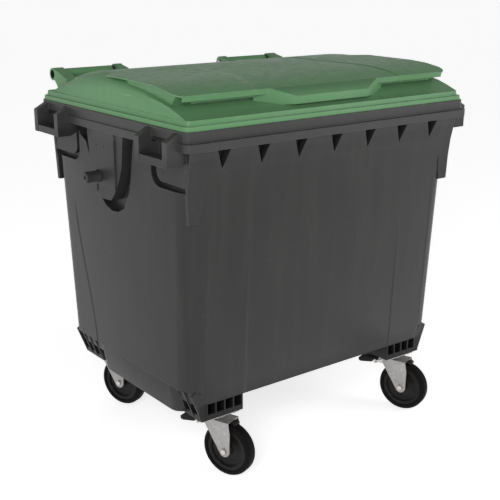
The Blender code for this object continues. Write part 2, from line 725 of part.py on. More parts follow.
for tag, side in SIDES:
    for count, (near, far) in enumerate(BARRELS):
        x_a, x_b = spanned(side, near, far)
        join(lid, prism(f"cut_barrel_{tag}_{count}", barrel_profile(), "x", x_a, x_b))
for tag, side in SIDES:
    x_a, x_b = spanned(side, 0.230, 0.600)
    axis_at = (LID_AXIS_Y, LID_AXIS_Z)
    bore = rod("cut_barrel_bore_" + tag, HINGE_PIN_R + GAP, "x", x_a, x_b, axis_at, steps=16)
    cup = rod("cut_barrel_cup_" + tag, 0.016, "x", *spanned(side, 0.520, 0.600), (LID_AXIS_Y, LID_AXIS_Z))
    cut(lid, bore, cup)

# ---- Lid grips and hinge pins ----
AXIS_AT = (0, LID_AXIS_Y, LID_AXIS_Z)
for tag, side in SIDES:
    near, far = LUGS[0][1], LUGS[1][0]
    bore_r = HINGE_PIN_R + GAP
    sleeve = [
        (bore_r, side * (near + GAP)),
        (GRIP_R - 0.002, side * (near + GAP)),
        (GRIP_R, side * (near + 0.003)),
        (GRIP_R, side * (far - 0.003)),
        (GRIP_R - 0.002, side * (far - GAP)),
        (bore_r, side * (far - GAP)),
    ]
    lathe("lid_grip_" + tag, sleeve, "x", AXIS_AT, GREEN, 24, cutter=False)
    head = BARRELS[0][0]
    tip = BARRELS[1][1]
    shank = [
        (0.0, side * (head - 0.007)),
        (0.010, side * (head - 0.007)),
        (0.012, side * (head - 0.005)),
        (0.012, side * (head - GAP)),
        (HINGE_PIN_R, side * (head - GAP)),
        (HINGE_PIN_R, side * (tip - 0.036)),
        (HINGE_PIN_R - 0.002, side * (tip - 0.034)),
        (0.0, side * (tip - 0.034)),
    ]
    lathe("hinge_pin_" + tag, shank, "x", AXIS_AT, STEEL, 16, cutter=False)

# ---- Drain plug ----
plug_profile = [
    (0.0, BELLY_Z - 0.014),
    (DRAIN_R + 0.006, BELLY_Z - 0.014),
    (DRAIN_R + 0.008, BELLY_Z - 0.012),
    (DRAIN_R + 0.008, BELLY_Z - 0.006 - GAP),
    (DRAIN_R - GAP, BELLY_Z - 0.006 - GAP),
    (DRAIN_R - 0.0015, BELLY_Z + 0.008),
    (0.0, BELLY_Z + 0.008),
]
plug = lathe("drain_plug", plug_profile, "z", (0, DRAIN_Y, 0), BLACK, 24, cutter=False)
bar_low = (-0.024, DRAIN_Y - 0.004, BELLY_Z - 0.024)
bar_high = (0.024, DRAIN_Y + 0.004, BELLY_Z - 0.013)
bar = box("cut_plug_bar", bar_low, bar_high)
join(plug, bar)


# ---- Casters ----
def frame_at(name, place, turn, above):
    holder = bpy.data.objects.new(name, None)
    holder.empty_display_size = 0.05
    part.objects.link(holder)
    holder.location = place
    holder.rotation_euler = (0, 0, turn)
    holder.parent = above
    return holder


def hang(holder, *pieces):
    """Parents pieces that were made about the holder's own origin."""
    for piece in pieces:
        piece.parent = holder


def hexagon(across, mid_a, mid_b):
    reach = across / math.sqrt(3)
    corners = []
    for count in range(6):
        turn = math.radians(60 * count + 30)
        corners.append((mid_a + reach * math.cos(turn), mid_b + reach * math.sin(turn)))
    return corners


LEG_IN = 0.0315
LEG_T = 0.004
CROWN_Z = (0.2065, 0.2110)
RACE_Z = (CROWN_Z[1] + GAP, CASTER_H - GAP - PLATE_T)
AXLE_R = 0.006
KING_R = 0.0075
swivels = {}
wheels = {}
for tag, sx, sy in CORNERS:
    fixed = frame_at("seat_" + tag, (sx * CASTER_X, sy * SEAT_MID_Y, 0), 0.0, None)
    plate = box(
        "caster_plate_" + tag,
        (-0.0675, -0.0525, CASTER_H - GAP - PLATE_T),
        (0.0675, 0.0525, CASTER_H - GAP),
        STEEL,
        cutter=False,
    )
    pivot = (0.0, sy * (CASTER_Y - SEAT_MID_Y))
    race = lathe(
        "cut_race_" + tag,
        [
            (0.0, RACE_Z[0]),
            (0.034, RACE_Z[0]),
            (0.037, RACE_Z[0] + 0.003),
            (0.037, RACE_Z[1] - 0.003),
            (0.033, RACE_Z[1] + 0.001),
            (0.0, RACE_Z[1] + 0.001),
        ],
        "z",
        (pivot[0], pivot[1], 0),
        steps=20,
    )
    join(plate, race)
    king_hole = rod("cut_king_" + tag, KING_R + GAP, "z", 0.190, CASTER_H + 0.02, pivot, steps=12)
    cut(plate, king_hole)
    hang(fixed, plate, race, king_hole)
    for count, (bx, by) in enumerate(((-1, -1), (1, -1), (1, 1), (-1, 1))):
        at = (bx * BOLT_X, by * BOLT_Y)
        hole = rod(f"cut_plate_{tag}_{count}", BOLT_R + GAP, "z", 0.200, 0.250, at, steps=8)
        cut(plate, hole)
        head_top = CASTER_H - 2 * GAP - PLATE_T
        low, high = head_top - 0.001, CASTER_H + 0.0145
        bolt = rod(f"bolt_{tag}_{count}", BOLT_R, "z", low, high, at, ZINC, 8, cutter=False)
        head = prism(f"cut_head_{tag}_{count}", hexagon(0.013, *at), "z", head_top - 0.0055, head_top)
        join(bolt, head)
        hang(fixed, hole, bolt, head)
    swivel = frame_at(
        "swivel_" + tag, (sx * CASTER_X, sy * SEAT_MID_Y + pivot[1], 0), CASTER_TURN, None
    )
    swivels[tag] = swivel
    leg_outline = [
        (0.026, CROWN_Z[1]),
        (0.026, 0.190),
        (-0.034, 0.094),
        (-0.043, 0.081),
        (-0.055, 0.077),
        (-0.068, 0.081),
        (-0.077, 0.094),
        (-0.079, 0.170),
        (-0.071, CROWN_Z[1]),
    ]
    fork = box(
        "fork_" + tag,
        (-LEG_IN - LEG_T, -0.071, CROWN_Z[0]),
        (LEG_IN + LEG_T, 0.026, CROWN_Z[1]),
        STEEL,
        cutter=False,
    )
    legs = []
    for name, side in SIDES:
        x_a, x_b = spanned(side, LEG_IN, LEG_IN + LEG_T)
        legs.append(prism(f"cut_leg_{tag}_{name}", leg_outline, "x", x_a, x_b))
    nose = rod("cut_nose_" + tag, 0.038, "z", *CROWN_Z, (0, 0), steps=16)
    join(fork, *legs, nose)
    axle_hole = rod("cut_axle_" + tag, AXLE_R + GAP, "x", -0.05, 0.05, (-CASTER_TRAIL, AXLE_Z), steps=12)
    fork_hole = rod("cut_fork_king_" + tag, KING_R + GAP, "z", 0.19, 0.23, (0, 0), steps=12)
    cut(fork, axle_hole, fork_hole)
    low, high = CROWN_Z[0] - 0.001, CASTER_H - GAP
    king = rod("king_pin_" + tag, KING_R, "z", low, high, (0, 0), ZINC, 12, cutter=False)
    king_head = prism(
        "cut_king_head_" + tag, hexagon(0.022, 0, 0), "z", CROWN_Z[0] - GAP - 0.008, CROWN_Z[0] - GAP
    )
    join(king, king_head)
    axle_at = (-CASTER_TRAIL, AXLE_Z)
    outside = LEG_IN + LEG_T + GAP
    low, high = -outside - 0.001, outside + 0.011
    axle = rod("axle_" + tag, AXLE_R, "x", low, high, axle_at, ZINC, 12, cutter=False)
    axle_head = prism("cut_axle_head_" + tag, hexagon(0.018, *axle_at), "x", -outside - 0.007, -outside)
    join(axle, axle_head)
    flats = hexagon(0.018, *axle_at)
    nut = prism("axle_nut_" + tag, flats, "x", outside, outside + 0.009, ZINC, cutter=False)
    nut_hole = rod("cut_nut_" + tag, AXLE_R + GAP, "x", 0, 0.06, axle_at, steps=12)
    cut(nut, nut_hole)
    hang(swivel, fork, *legs, nose, axle_hole, fork_hole, king, king_head)
    hang(swivel, axle, axle_head, nut, nut_hole)
    rolling = frame_at("wheel_" + tag, (0, -CASTER_TRAIL, AXLE_Z), 0.0, swivel)
    wheels[tag] = rolling
    inner_r = WHEEL_R - TYRE_DEPTH
    tyre = lathe(
        "tyre_" + tag,
        [
            (inner_r, -TYRE_HALF_W + 0.002),
            (inner_r + 0.006, -TYRE_HALF_W),
            (WHEEL_R - 0.009, -TYRE_HALF_W),
            (WHEEL_R, -TYRE_HALF_W + 0.011),
            (WHEEL_R, TYRE_HALF_W - 0.011),
            (WHEEL_R - 0.009, TYRE_HALF_W),
            (inner_r + 0.006, TYRE_HALF_W),
            (inner_r, TYRE_HALF_W - 0.002),
        ],
        "x",
        (0, 0, 0),
        TYRE,
        ROUND,
        cutter=False,
        start=math.pi / ROUND,
    )
    rim_r = inner_r - 2 * GAP
    core = lathe(
        "wheel_core_" + tag,
        [
            (AXLE_R + GAP, -0.0295),
            (0.021, -0.0295),
            (0.023, -0.006),
            (0.066, -0.006),
            (0.068, -0.020),
            (rim_r, -0.020),
            (rim_r, 0.020),
            (0.068, 0.020),
            (0.066, 0.006),
            (0.023, 0.006),
            (0.021, 0.0295),
            (AXLE_R + GAP, 0.0295),
        ],
        "x",
        (0, 0, 0),
        CORE,
        ROUND,
        cutter=False,
        start=math.pi / ROUND,
    )
    hang(rolling, tyre, core)

# ---- Brakes on the two front casters ----
PEDAL_AT = (0.040, 0.193)
SHOE_AT = (-0.022, 0.2037)
for tag in ("fl", "fr"):
    swivel = swivels[tag]
    cheek = [(0.020, 0.2105), (0.044, 0.2105), (0.052, 0.193), (0.044, 0.182), (0.020, 0.186)]
    fork = bpy.data.objects["fork_" + tag]
    ears = []
    for name, side in SIDES:
        x_a, x_b = spanned(side, LEG_IN - 0.010, LEG_IN - 0.006)
        ears.append(prism(f"cut_ear_{tag}_{name}", cheek, "x", x_a, x_b))
    bridge = box("cut_bridge_" + tag, (-0.0255, 0.020, CROWN_Z[0]), (0.0255, 0.046, CROWN_Z[1] - 0.0005))
    join(fork, bridge, *ears)
    ear_hole = rod("cut_ear_hole_" + tag, 0.004 + GAP, "x", -0.03, 0.03, PEDAL_AT, steps=12)
    cut(fork, ear_hole)
    pin = rod("brake_pin_" + tag, 0.004, "x", -0.0285, 0.0285, PEDAL_AT, ZINC, 12, cutter=False)
    hang(swivel, bridge, *ears, ear_hole, pin)
    treadle = frame_at("treadle_" + tag, (0, *PEDAL_AT), 0.0, swivel)
    arm = [
        (0.008, 0.004),
        (0.030, 0.006),
        (0.080, 0.000),
        (0.092, -0.008),
        (0.088, -0.015),
        (0.074, -0.008),
        (0.030, -0.004),
        (0.004, -0.0088),
        (-0.007, -0.006),
        (-0.0085, 0.003),
        (-0.003, 0.0085),
    ]
    pedal = prism("brake_pedal_" + tag, arm, "x", -0.0205, 0.0205, BLACK, cutter=False)
    pad = prism(
        "cut_tread_" + tag,
        [
            (0.036, 0.0085),
            (0.080, 0.0060),
            (0.097, -0.0060),
            (0.096, -0.0170),
            (0.086, -0.0200),
            (0.036, -0.0120),
        ],
        "x",
        -0.030,
        0.030,
    )
    join(pedal, pad)
    pedal_hole = rod("cut_pedal_hole_" + tag, 0.004 + GAP, "x", -0.04, 0.04, (0, 0), steps=12)
    cut(pedal, pedal_hole)
    hang(treadle, pedal, pad, pedal_hole)
    shoe_arm = frame_at("shoe_" + tag, (0, *SHOE_AT), 0.0, swivel)
    shoe_outline = [
        (0.004, -0.0019),
        (0.004, 0.0018),
        (-0.050, 0.0018),
        (-0.054, 0.0050),
        (-0.062, 0.0044),
        (-0.068, -0.0010),
        (-0.067, -0.0068),
        (-0.060, -0.0040),
        (-0.050, -0.0019),
    ]
    shoe = prism("brake_shoe_" + tag, shoe_outline, "x", -0.016, 0.016, BLACK, cutter=False)
    hang(shoe_arm, shoe)

for obj in bpy.data.objects:
    if obj.parent is None:
        obj.location.y += SHIFT_Y
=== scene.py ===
# %% [markdown]
# A four-wheeled refuse bin: a dark grey moulded tub, a green lid on two hinge bars, and four
# swivel casters with a brake on the front pair. The shape and the motion come from a packed
# CAD model, which stays fixed. This lesson gives it its finished surfaces: rounded mouldings,
# coloured plastic, galvanised steel and rubber.

import json
import math

import bpy
from mathutils import Matrix, Vector


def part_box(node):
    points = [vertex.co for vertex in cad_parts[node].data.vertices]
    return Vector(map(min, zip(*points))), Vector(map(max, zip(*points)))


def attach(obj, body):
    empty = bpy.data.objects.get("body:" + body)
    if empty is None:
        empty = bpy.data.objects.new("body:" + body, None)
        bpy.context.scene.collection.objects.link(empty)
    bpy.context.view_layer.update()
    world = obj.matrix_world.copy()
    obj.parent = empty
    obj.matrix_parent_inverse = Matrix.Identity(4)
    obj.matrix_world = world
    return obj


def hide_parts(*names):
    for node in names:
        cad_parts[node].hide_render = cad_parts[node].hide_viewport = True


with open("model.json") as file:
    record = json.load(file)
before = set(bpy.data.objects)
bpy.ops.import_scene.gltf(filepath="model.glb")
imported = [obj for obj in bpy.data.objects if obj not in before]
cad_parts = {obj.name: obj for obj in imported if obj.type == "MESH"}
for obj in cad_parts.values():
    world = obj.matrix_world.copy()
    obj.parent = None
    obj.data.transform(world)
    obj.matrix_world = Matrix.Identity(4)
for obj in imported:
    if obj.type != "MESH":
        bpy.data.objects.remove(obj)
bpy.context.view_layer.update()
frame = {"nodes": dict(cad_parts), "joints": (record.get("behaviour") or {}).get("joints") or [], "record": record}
nodes = frame["nodes"]
home = {}
for body_name, members in frame["record"]["behaviour"]["bodies"].items():
    for member in members:
        home[member] = body_name
joints = {joint["name"]: joint for joint in frame["joints"]}

# %% [markdown]
# The lifting pins sit 74 mm behind the middle of the rim, so the middle of the rim is found
# from one of them. Everything that is placed one by one below is placed from that middle.

# %% Find the middle of the rim
pin_low, pin_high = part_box("trunnion_l")
rim_mid = (pin_low.y + pin_high.y) / 2 - 0.074
print("middle of the rim at y", round(rim_mid, 4))

# %% [markdown]
# The camera stands in front of the left corner at about head height and far away, so that
# the upright edges stay nearly parallel. It is aimed by a quaternion: the vector from the
# target back to the camera becomes the camera's own +Z.

# %% Place the camera
back = Vector((-0.5825, -0.7612, 0.2851)).normalized()
target = Vector((-0.0098, rim_mid, 0.6598))
camera_data = bpy.data.cameras.new("camera")
camera_data.lens = 69.4
camera_data.clip_end = 200
camera = bpy.data.objects.new("camera", camera_data)
bpy.context.scene.collection.objects.link(camera)
camera.rotation_mode = "QUATERNION"
camera.location = target + back * 3.8354
camera.rotation_quaternion = back.to_track_quat("Z", "Y")
bpy.context.scene.camera = camera
print("camera at", [round(value, 3) for value in camera.location])

# %% [markdown]
# A helper wakes one object and nothing else. Blender's operators act on all that is
# selected, and the loaded frame is still selected, so this comes before each of them.

# %% Select one object alone
def wake(obj):
    bpy.ops.object.select_all(action="DESELECT")
    bpy.context.view_layer.objects.active = obj
    obj.select_set(True)


# %% [markdown]
# Nodes are added the same way each time: a kind, its own settings, and its inputs, which are
# either plain values or sockets of earlier nodes. A tiny helper keeps each material readable.

# %% Add a node and wire it
def add(tree, kind, settings=None, inputs=None):
    node = tree.nodes.new(kind)
    for key, value in (settings or {}).items():
        setattr(node, key, value)
    for key, value in (inputs or {}).items():
        if isinstance(value, bpy.types.NodeSocket):
            tree.links.new(value, node.inputs[key])
        else:
            node.inputs[key].default_value = value
    return node


def calc(tree, operation, *values, clamp=False):
    """A Math node: its result socket."""
    node = add(tree, "ShaderNodeMath", {"operation": operation, "use_clamp": clamp}, dict(enumerate(values)))
    return node.outputs[0]


def between(tree, value, low, high, to_low=0.0, to_high=1.0):
    """A smooth step of a value from low to high."""
    node = add(
        tree,
        "ShaderNodeMapRange",
        {"interpolation_type": "SMOOTHSTEP"},
        {"Value": value, "From Min": low, "From Max": high, "To Min": to_low, "To Max": to_high},
    )
    return node.outputs["Result"]


def blend_color(tree, factor, first, second, mode="MIX"):
    """A colour Mix node: its result socket."""
    node = tree.nodes.new("ShaderNodeMix")
    node.data_type = "RGBA"
    node.blend_type = mode
    for socket, value in ((node.inputs[0], factor), (node.inputs[6], first), (node.inputs[7], second)):
        if isinstance(value, bpy.types.NodeSocket):
            tree.links.new(value, socket)
        elif isinstance(value, float):
            socket.default_value = value
        else:
            socket.default_value = (*value, 1.0)
    return node.outputs[2]


def distance(tree, first, second):
    """The length of a vector with two parts."""
    squares = [calc(tree, "MULTIPLY", part, part) for part in (first, second)]
    return calc(tree, "SQRT", calc(tree, "ADD", *squares))


def new_group(name, inputs, outputs):
    """An empty shader group, with its input and output nodes."""
    tree = bpy.data.node_groups.new(name, "ShaderNodeTree")
    for label, value in inputs.items():
        socket = tree.interface.new_socket(label, in_out="INPUT", socket_type="NodeSocketFloat")
        socket.default_value = value
    for label, kind in outputs.items():
        tree.interface.new_socket(label, in_out="OUTPUT", socket_type=kind)
    return tree, tree.nodes.new("NodeGroupInput"), tree.nodes.new("NodeGroupOutput")


# %% [markdown]
# Moulded plastic is never quite even. It has a fine etched grain from the mould, which catches
# the light, and broad clouds where the melt cooled at different speeds. Both are noise on
# Object coordinates, which are metres here, so a scale of 900 is a grain of about a millimetre.

# %% Group: moulded grain and clouds
grain_group, g_in, g_out = new_group(
    "moulded surface",
    {"Grain Scale": 900.0, "Cloud Scale": 3.0},
    {"Grain": "NodeSocketFloat", "Clouds": "NodeSocketFloat"},
)
place = add(grain_group, "ShaderNodeTexCoord").outputs["Object"]
fine = add(
    grain_group,
    "ShaderNodeTexNoise",
    inputs={"Vector": place, "Scale": g_in.outputs["Grain Scale"], "Detail": 3.0, "Roughness": 0.55},
)
wide = add(
    grain_group,
    "ShaderNodeTexNoise",
    inputs={"Vector": place, "Scale": g_in.outputs["Cloud Scale"], "Detail": 5.0, "Roughness": 0.6},
)
grain_group.links.new(fine.outputs["Fac"], g_out.inputs["Grain"])
grain_group.links.new(wide.outputs["Fac"], g_out.inputs["Clouds"])
print("group", grain_group.name)

# %% [markdown]
# No moulded or pressed edge is sharp. A Bevel node reads the surface around each point and
# returns the normal of a rounded edge. Where that differs from the true normal there is an
# edge, and so the same node gives a mask of the edges, which the materials use for rubbed wear
# and, on the tub and the lid, partly for a painted highlight. Noise breaks it up.

# %% Group: rounded edges, with rubbed wear and painted highlight
edge_group, g_in, g_out = new_group(
    "rubbed and highlit edges",
    {"Radius": 0.002, "Amount": 1.0},
    {"Edge": "NodeSocketFloat", "Normal": "NodeSocketVector"},
)
rounded = add(edge_group, "ShaderNodeBevel", {"samples": 6}, {"Radius": g_in.outputs["Radius"]})
true_normal = add(edge_group, "ShaderNodeNewGeometry").outputs["Normal"]
likeness = add(
    edge_group,
    "ShaderNodeVectorMath",
    {"operation": "DOT_PRODUCT"},
    {0: rounded.outputs["Normal"], 1: true_normal},
)
bend = calc(edge_group, "SUBTRACT", 1.0, likeness.outputs["Value"])
place = add(edge_group, "ShaderNodeTexCoord").outputs["Object"]
patches = add(edge_group, "ShaderNodeTexNoise", inputs={"Vector": place, "Scale": 22.0, "Detail": 6.0})
broken = between(edge_group, patches.outputs["Fac"], 0.40, 0.66, 0.15, 1.0)
strong = between(edge_group, bend, 0.01, 0.16)
edge_wear_and_highlight = calc(edge_group, "MULTIPLY", strong, broken)
edge_wear_and_highlight = calc(edge_group, "MULTIPLY", edge_wear_and_highlight, g_in.outputs["Amount"], clamp=True)
edge_group.links.new(edge_wear_and_highlight, g_out.inputs["Edge"])
edge_group.links.new(rounded.outputs["Normal"], g_out.inputs["Normal"])
print("group", edge_group.name)

# %% [markdown]
# A bin that stands outside gathers pale dust on ledges and low down, and rain draws it into
# faint upright streaks. The streaks are noise that is squeezed across and stretched upwards.
# Fine scuffs are the same idea, turned and squeezed harder.

# %% Group: dust, streaks and scuffs
dirt_group, g_in, g_out = new_group(
    "street dirt",
    {"Dust Top": 0.5, "Scuff Scale": 1.0},
    {"Dust": "NodeSocketFloat", "Streaks": "NodeSocketFloat", "Scuffs": "NodeSocketFloat"},
)
place = add(dirt_group, "ShaderNodeTexCoord").outputs["Object"]
height = add(dirt_group, "ShaderNodeSeparateXYZ", inputs={0: place}).outputs["Z"]
facing = add(dirt_group, "ShaderNodeNewGeometry").outputs["Normal"]
upward = add(dirt_group, "ShaderNodeSeparateXYZ", inputs={0: facing}).outputs["Z"]
low_down = between(dirt_group, height, 0.0, g_in.outputs["Dust Top"], 1.0, 0.0)
ledge = between(dirt_group, upward, 0.3, 1.0)
speckle = add(
    dirt_group,
    "ShaderNodeTexNoise",
    inputs={"Vector": place, "Scale": 34.0, "Detail": 8.0, "Roughness": 0.7},
)
speckle = between(dirt_group, speckle.outputs["Fac"], 0.38, 0.72)
dust = calc(dirt_group, "MULTIPLY", calc(dirt_group, "MAXIMUM", low_down, ledge), speckle)
tall = add(dirt_group, "ShaderNodeMapping", inputs={"Vector": place, "Scale": (26.0, 26.0, 1.6)})
runs = add(
    dirt_group,
    "ShaderNodeTexNoise",
    inputs={"Vector": tall.outputs[0], "Scale": 1.0, "Detail": 5.0, "Roughness": 0.62},
)
runs = between(dirt_group, runs.outputs["Fac"], 0.42, 0.70)
slant = add(
    dirt_group,
    "ShaderNodeMapping",
    inputs={"Vector": place, "Rotation": (0.5, 0.9, 0.4), "Scale": (260.0, 9.0, 260.0)},
)
lines = add(
    dirt_group,
    "ShaderNodeTexNoise",
    inputs={"Vector": slant.outputs[0], "Scale": g_in.outputs["Scuff Scale"], "Detail": 2.0},
)
lines = between(dirt_group, lines.outputs["Fac"], 0.66, 0.72)
where = add(dirt_group, "ShaderNodeTexNoise", inputs={"Vector": place, "Scale": 5.0, "Detail": 3.0})
lines = calc(dirt_group, "MULTIPLY", lines, between(dirt_group, where.outputs["Fac"], 0.5, 0.62))
for socket, result in (("Dust", dust), ("Streaks", runs), ("Scuffs", lines)):
    dirt_group.links.new(result, g_out.inputs[socket])
print("group", dirt_group.name)

# %% [markdown]
# Every material starts alike: a Principled shader whose base colour is mixed from the groups'
# masks. The constants, such as the specular level, are set straight on the shader.

# %% Start a material
def start_material(name, metallic=0.0, specular=0.5, coat=0.0):
    material = bpy.data.materials.new(name)
    material.use_nodes = True
    tree = material.node_tree
    shader = tree.nodes["Principled BSDF"]
    shader.inputs["Metallic"].default_value = metallic
    shader.inputs["Specular IOR Level"].default_value = specular
    shader.inputs["Coat Weight"].default_value = coat
    return material, tree, shader


def use_group(tree, group, **values):
    node = tree.nodes.new("ShaderNodeGroup")
    node.node_tree = group
    for key, value in values.items():
        node.inputs[key.replace("_", " ")].default_value = value
    return node.outputs


def bump(tree, height, distance, normal=None, strength=1.0):
    inputs = {"Height": height, "Distance": distance, "Strength": strength}
    if normal is not None:
        inputs["Normal"] = normal
    return add(tree, "ShaderNodeBump", inputs=inputs).outputs["Normal"]


# %% [markdown]
# The tub is thick polyethylene, coloured right through, so wear shows as a paler and smoother
# grey and never as bare metal; the pale edges are partly that wear and partly painted highlight.
# A band at the rim is painted paler than the walls, and the caster seats are painted darker as
# painted shade. The walls also carry very shallow steps from the mould: a panel on the front
# between two upright creases, a crease on each corner and a leaning one on each side. They are
# a few millimetres deep over a metre, so they are drawn as height here.

# %% Material: grey tub plastic
tub_plastic, tree, shader = start_material("grey tub plastic", specular=0.24)
surface = use_group(tree, grain_group, Grain_Scale=700.0, Cloud_Scale=2.6)
edges = use_group(tree, edge_group, Radius=0.0025, Amount=0.75)
dirt = use_group(tree, dirt_group, Dust_Top=0.45, Scuff_Scale=1.0)
place = add(tree, "ShaderNodeTexCoord").outputs["Object"]
split = add(tree, "ShaderNodeSeparateXYZ", inputs={0: place})
across = calc(tree, "ABSOLUTE", split.outputs["X"])
along = calc(tree, "SUBTRACT", split.outputs["Y"], rim_mid)
up = split.outputs["Z"]
facing = add(tree, "ShaderNodeNewGeometry").outputs["Normal"]
face = add(tree, "ShaderNodeSeparateXYZ", inputs={0: facing})
on_front = between(tree, face.outputs["Y"], -0.5, -0.8)
on_side = between(tree, calc(tree, "ABSOLUTE", face.outputs["X"]), 0.5, 0.8)
panel = between(tree, across, 0.349, 0.361)
panel = calc(tree, "MULTIPLY", panel, between(tree, up, 0.30, 0.92, 0.0032, 0.0))
corner = between(tree, across, 0.516, 0.530, 0.0, 0.0016)
corner = calc(tree, "MULTIPLY", corner, between(tree, up, 0.86, 0.96, 1.0, 0.0))
front_relief = calc(tree, "MULTIPLY", calc(tree, "ADD", panel, corner), on_front)
lean = calc(tree, "SUBTRACT", along, between(tree, up, 0.30, 0.95, 0.205, 0.318))
side_relief = between(tree, lean, -0.006, 0.010, 0.0, 0.0030)
side_relief = calc(tree, "MULTIPLY", side_relief, between(tree, up, 0.80, 0.93, 1.0, 0.0))
side_relief = calc(tree, "MULTIPLY", side_relief, on_side)
relief = calc(tree, "ADD", front_relief, side_relief)
grey = blend_color(tree, surface["Clouds"], (0.0175, 0.0175, 0.0175), (0.0255, 0.0255, 0.025))
streaked = blend_color(tree, calc(tree, "MULTIPLY", dirt["Streaks"], 0.22), grey, (0.044, 0.043, 0.040))
dusty = blend_color(tree, calc(tree, "MULTIPLY", dirt["Dust"], 0.16), streaked, (0.085, 0.081, 0.073))
# The band at the rim, from about 1.15 m up, is painted paler than the walls.
rim_band = between(tree, up, 1.150, 1.205)
paler = blend_color(tree, calc(tree, "MULTIPLY", rim_band, 0.40), dusty, (0.070, 0.066, 0.066))
scuffed = blend_color(tree, calc(tree, "MULTIPLY", dirt["Scuffs"], 0.45), paler, (0.105, 0.105, 0.105))
# The paler edges are partly wear and partly a painted highlight.
pale_edges = blend_color(tree, calc(tree, "MULTIPLY", edges["Edge"], 0.70), scuffed, (0.175, 0.171, 0.168))
# Painted shade: two small holes on each lifting-pin column are dark disks with a shallow bump, not cut holes.
holes = []
for hole_y, hole_z in ((0.076, 1.141), (0.025, 1.143)):
    off_y = calc(tree, "SUBTRACT", along, hole_y)
    off_z = calc(tree, "SUBTRACT", up, hole_z)
    holes.append(between(tree, distance(tree, off_y, off_z), 0.0042, 0.0058, 1.0, 0.0))
hole_shade = calc(tree, "MULTIPLY", calc(tree, "ADD", *holes, clamp=True), on_side)
# Painted shade: the caster seats under the tub are painted almost black.
seat_shade = between(tree, up, 0.288, 0.300, 1.0, 0.0)
seat_shade = calc(tree, "MULTIPLY", seat_shade, between(tree, across, 0.545, 0.552, 1.0, 0.0))
seat_shade = calc(tree, "MULTIPLY", seat_shade, between(tree, calc(tree, "ABSOLUTE", along), 0.255, 0.268))
shaded = blend_color(tree, calc(tree, "MULTIPLY", seat_shade, 0.8), pale_edges, (0.006, 0.006, 0.006))
body_color = blend_color(tree, hole_shade, shaded, (0.008, 0.008, 0.008))
tree.links.new(body_color, shader.inputs["Base Color"])
sheen = calc(tree, "MULTIPLY_ADD", surface["Clouds"], 0.14, 0.31)
sheen = calc(tree, "MULTIPLY_ADD", dirt["Dust"], 0.22, sheen)
sheen = calc(tree, "MULTIPLY_ADD", edges["Edge"], -0.10, sheen, clamp=True)
tree.links.new(sheen, shader.inputs["Roughness"])
hollow = calc(tree, "MULTIPLY_ADD", hole_shade, -0.003, relief)
shaped = bump(tree, hollow, 1.0, edges["Normal"])
tree.links.new(bump(tree, surface["Grain"], 0.0004, shaped, 0.55), shader.inputs["Normal"])
print("material", tub_plastic.name, len(tree.nodes), "nodes")

# %% [markdown]
# The lid is the same plastic in green, but smoother, because rain and hands polish it. Its
# edges go almost white, partly as wear and partly as painted highlight, and the sun has
# bleached it in clouds. The middle of the top lies a few millimetres lower between two folds
# that spread towards the front. It is drawn as height, like the creases of the tub. The open
# ends of the hinge barrels are painted near black, as painted shade inside them.

# %% Material: green lid plastic
lid_plastic, tree, shader = start_material("green lid plastic", specular=0.16)
surface = use_group(tree, grain_group, Grain_Scale=520.0, Cloud_Scale=3.4)
edges = use_group(tree, edge_group, Radius=0.003, Amount=0.8)
dirt = use_group(tree, dirt_group, Dust_Top=0.2, Scuff_Scale=1.2)
green = blend_color(tree, surface["Clouds"], (0.094, 0.222, 0.098), (0.126, 0.276, 0.130))
bleached = blend_color(tree, calc(tree, "MULTIPLY", dirt["Streaks"], 0.16), green, (0.165, 0.285, 0.175))
dusty = blend_color(tree, calc(tree, "MULTIPLY", dirt["Dust"], 0.03), bleached, (0.250, 0.320, 0.230))
scuffed = blend_color(tree, calc(tree, "MULTIPLY", dirt["Scuffs"], 0.35), dusty, (0.330, 0.470, 0.340))
# The almost white edge colour is partly wear and partly a painted highlight.
pale_edges = blend_color(tree, calc(tree, "MULTIPLY", edges["Edge"], 0.50), scuffed, (0.420, 0.580, 0.430))
place = add(tree, "ShaderNodeTexCoord").outputs["Object"]
split = add(tree, "ShaderNodeSeparateXYZ", inputs={0: place})
along = calc(tree, "SUBTRACT", split.outputs["Y"], rim_mid)
# Painted shade: the open ends of the hinge barrels are painted near black where the hollow is dark.
off_y = calc(tree, "SUBTRACT", along, 0.555)
off_z = calc(tree, "SUBTRACT", split.outputs["Z"], 1.340)
barrel_end_shade = between(tree, distance(tree, off_y, off_z), 0.0162, 0.0172, 1.0, 0.0)
outer_end = between(tree, calc(tree, "ABSOLUTE", split.outputs["X"]), 0.510, 0.518)
barrel_end_shade = calc(tree, "MULTIPLY", barrel_end_shade, outer_end)
end_shaded = blend_color(tree, calc(tree, "MULTIPLY", barrel_end_shade, 0.93), pale_edges, (0.010, 0.012, 0.010))
tree.links.new(end_shaded, shader.inputs["Base Color"])
sheen = calc(tree, "MULTIPLY_ADD", surface["Clouds"], 0.16, 0.30)
sheen = calc(tree, "MULTIPLY_ADD", dirt["Dust"], 0.15, sheen)
tree.links.new(sheen, shader.inputs["Roughness"])
left_fold = calc(tree, "SUBTRACT", split.outputs["X"], calc(tree, "MULTIPLY_ADD", along, 0.18, -0.23))
right_fold = calc(tree, "SUBTRACT", split.outputs["X"], calc(tree, "MULTIPLY_ADD", along, -0.13, 0.30))
right_of_left = between(tree, left_fold, -0.016, 0.016)
valley = calc(tree, "SUBTRACT", right_of_left, between(tree, right_fold, -0.016, 0.016))
valley = calc(tree, "MULTIPLY", valley, between(tree, split.outputs["Z"], 1.335, 1.372))
folded = bump(tree, calc(tree, "MULTIPLY", valley, -0.0090), 1.0, edges["Normal"])
soft = bump(tree, surface["Clouds"], 0.004, folded, 0.25)
tree.links.new(bump(tree, surface["Grain"], 0.0004, soft, 0.35), shader.inputs["Normal"])
print("material", lid_plastic.name, len(tree.nodes), "nodes")

# %% [markdown]
# Hot-dip galvanised steel freezes in patches of crystal, each with its own grey. A Voronoi
# texture gives the patches, and a little noise moves the roughness within each.

